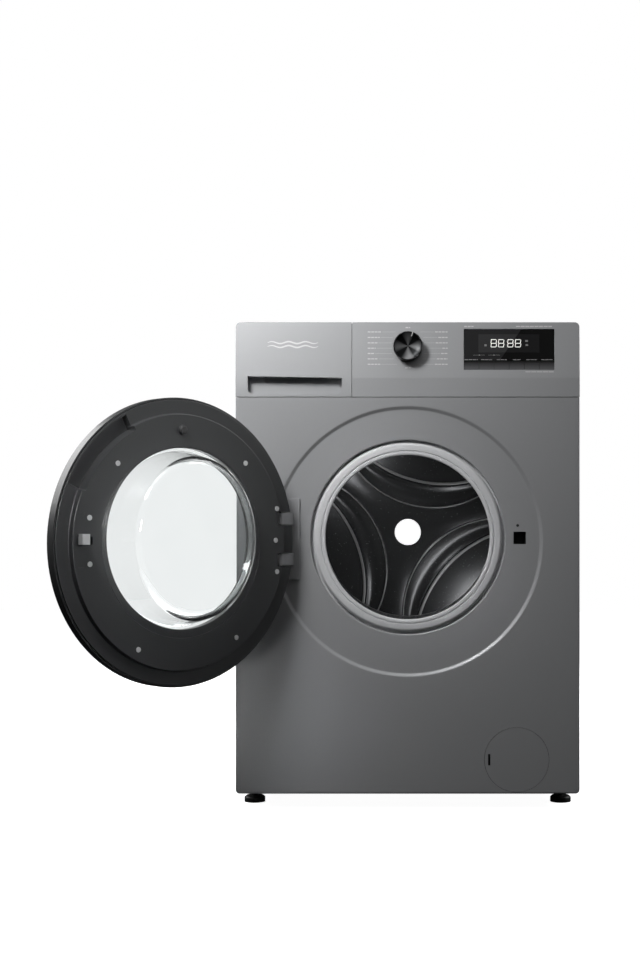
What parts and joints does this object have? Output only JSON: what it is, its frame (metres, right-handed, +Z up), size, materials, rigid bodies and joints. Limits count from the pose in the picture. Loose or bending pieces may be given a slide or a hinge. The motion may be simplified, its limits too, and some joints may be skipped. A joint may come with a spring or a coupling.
{
  "type": "front load washing machine",
  "caption": "Free-standing front-loading laundry washer with a round glass door standing open, a detergent drawer, a control strip with knob and display, and its working parts inside.",
  "frame": {"origin": "on the floor at the middle of the cabinet's footprint", "axes": "+Z up, the front with the door faces -Y, +X to the right seen from the front"},
  "size_m": [0.8423, 0.8551, 0.845],
  "materials": {
    "painted_steel": "graphite-silver semi-gloss paint",
    "top_laminate": "satin coated board, grey",
    "zinc_steel": "galvanised",
    "base_plastic": "fine grain",
    "strip_plastic": "metallic-effect semi-gloss",
    "display_black": "high gloss",
    "circuit_board": "solder mask",
    "gasket_rubber": "smooth light-grey rubber",
    "white_plastic": "satin",
    "tub_plastic": "glass-filled",
    "dark_plastic": "fine grain",
    "hose_rubber": "matte",
    "concrete": "cast, rough",
    "bearing_steel": "ground",
    "motor_steel": "stamped",
    "heater_steel": "drawn tube",
    "stainless": "bright annealed",
    "cast_aluminium": "as cast",
    "door_plastic": "semi-gloss dark grey",
    "door_glass": "clear moulded",
    "latch_metal": "satin",
    "knob_metal": "spun metal effect",
    "foot_plastic": "rubberised"
  },
  "bodies": {
    "cabinet": {"front_panel": "painted_steel", "side_panel_left": "painted_steel", "side_panel_right": "painted_steel", "rear_panel": "painted_steel", "rear_service_cover": "painted_steel", "top_panel": "top_laminate", "base_tray": "base_plastic", "frame_braces": "zinc_steel", "control_fascia": "strip_plastic", "display_window": "display_black", "control_board": "circuit_board", "hinge_bracket": "zinc_steel", "door_lock": "dark_plastic", "door_gasket": "gasket_rubber", "drawer_housing": "white_plastic", "water_inlet_valve": "white_plastic", "mains_gland": "dark_plastic", "fill_hose": "hose_rubber", "sump_hose": "hose_rubber", "drain_pump": "dark_plastic", "drain_pipe": "hose_rubber", "filter_housing": "dark_plastic", "suspension_springs": "zinc_steel", "suspension_dampers": "base_plastic"},
    "tub": {"tub_front": "tub_plastic", "tub_rear": "tub_plastic", "counterweights": "concrete", "drum_bearings": "bearing_steel", "motor": "motor_steel", "drive_belt": "hose_rubber", "heater": "heater_steel"},
    "drum": {"drum_shell": "stainless", "drum_back": "stainless", "drum_cap": "white_plastic", "drum_lifters": "white_plastic", "drum_spider": "cast_aluminium", "drum_pulley": "cast_aluminium"},
    "motor_rotor": {"motor_pulley": "zinc_steel"},
    "door": {"door_outer_ring": "door_plastic", "door_inner_frame": "door_plastic", "door_glass": "door_glass", "door_screws": "bearing_steel", "door_buffer": "hose_rubber", "hinge_pin": "bearing_steel"},
    "latch": {"latch_hook": "latch_metal"},
    "drawer": {"drawer_front": "strip_plastic", "drawer_tray": "white_plastic"},
    "knob": {"program_knob": "knob_metal"},
    "filter_door": {"filter_cover": "strip_plastic"},
    "filter_insert": {"filter_plug": "dark_plastic"},
    "key_1": {"touch_key_1": "display_black"},
    "key_2": {"touch_key_2": "display_black"},
    "key_3": {"touch_key_3": "display_black"},
    "key_4": {"touch_key_4": "display_black"},
    "key_5": {"touch_key_5": "display_black"},
    "key_6": {"touch_key_6": "display_black"},
    "foot_front_left": {"foot_front_left": "foot_plastic"},
    "foot_front_right": {"foot_front_right": "foot_plastic"},
    "foot_rear_left": {"foot_rear_left": "foot_plastic"},
    "foot_rear_right": {"foot_rear_right": "foot_plastic"}
  },
  "joints": [
    {"name": "door_hinge", "type": "hinge", "parent": "cabinet", "child": "door", "pos_m": [-0.2186, -0.27, 0.469], "axis": [0, 0, -1], "range_deg": [-136.2, 0]},
    {"name": "latch_pivot", "type": "hinge", "parent": "door", "child": "latch", "pos_m": [-0.49898, -0.56797, 0.4709], "axis": [0, 0, 1], "range_deg": [-4, 4], "stiffness_Nm_per_rad": 0.05},
    {"name": "drawer_slide", "type": "slide", "parent": "cabinet", "child": "drawer", "axis": [0, -1, 0], "range_m": [0, 0.2]},
    {"name": "knob_turn", "type": "hinge", "parent": "cabinet", "child": "knob", "pos_m": [0.0005, -0.245, 0.8019], "axis": [0, -1, 0], "continuous": true},
    {"name": "key_1_press", "type": "slide", "parent": "cabinet", "child": "key_1", "axis": [0, 1, 0], "range_m": [0, 0.001], "stiffness_N_per_m": 800, "springref_m": -0.001},
    {"name": "key_2_press", "type": "slide", "parent": "cabinet", "child": "key_2", "axis": [0, 1, 0], "range_m": [0, 0.001], "stiffness_N_per_m": 800, "springref_m": -0.001},
    {"name": "key_3_press", "type": "slide", "parent": "cabinet", "child": "key_3", "axis": [0, 1, 0], "range_m": [0, 0.001], "stiffness_N_per_m": 800, "springref_m": -0.001},
    {"name": "key_4_press", "type": "slide", "parent": "cabinet", "child": "key_4", "axis": [0, 1, 0], "range_m": [0, 0.001], "stiffness_N_per_m": 800, "springref_m": -0.001},
    {"name": "key_5_press", "type": "slide", "parent": "cabinet", "child": "key_5", "axis": [0, 1, 0], "range_m": [0, 0.001], "stiffness_N_per_m": 800, "springref_m": -0.001},
    {"name": "key_6_press", "type": "slide", "parent": "cabinet", "child": "key_6", "axis": [0, 1, 0], "range_m": [0, 0.001], "stiffness_N_per_m": 800, "springref_m": -0.001},
    {"name": "tub_bounce", "type": "slide", "parent": "cabinet", "child": "tub", "axis": [0, 0, 1], "range_m": [-0.008, 0.008], "stiffness_N_per_m": 12000, "springref_m": 0.0398, "deforming": ["door_gasket", "suspension_springs", "suspension_dampers", "fill_hose", "sump_hose"]},
    {"name": "drum_spin", "type": "hinge", "parent": "tub", "child": "drum", "pos_m": [0, 0, 0.48], "axis": [0, -1, 0], "continuous": true},
    {"name": "motor_spin", "type": "hinge", "parent": "tub", "child": "motor_rotor", "pos_m": [0.11, 0.2, 0.14], "axis": [0, -1, 0], "continuous": true},
    {"name": "filter_cover_pull", "type": "slide", "parent": "cabinet", "child": "filter_door", "axis": [0, -1, 0], "range_m": [0, 0.03]},
    {"name": "filter_turn", "type": "hinge", "parent": "cabinet", "child": "filter_insert", "pos_m": [0.1889, -0.226, 0.0865], "axis": [0, -1, 0], "range_deg": [0, 90]},
    {"name": "level_front_left", "type": "slide", "parent": "cabinet", "child": "foot_front_left", "axis": [0, 0, 1], "range_m": [-0.015, 0]},
    {"name": "level_front_right", "type": "slide", "parent": "cabinet", "child": "foot_front_right", "axis": [0, 0, 1], "range_m": [-0.015, 0]},
    {"name": "level_rear_left", "type": "slide", "parent": "cabinet", "child": "foot_rear_left", "axis": [0, 0, 1], "range_m": [-0.015, 0]},
    {"name": "level_rear_right", "type": "slide", "parent": "cabinet", "child": "foot_rear_right", "axis": [0, 0, 1], "range_m": [-0.015, 0]}
  ],
  "couplings": [
    {"joint": "motor_spin", "follows": "drum_spin", "ratio": 14}
  ]
}
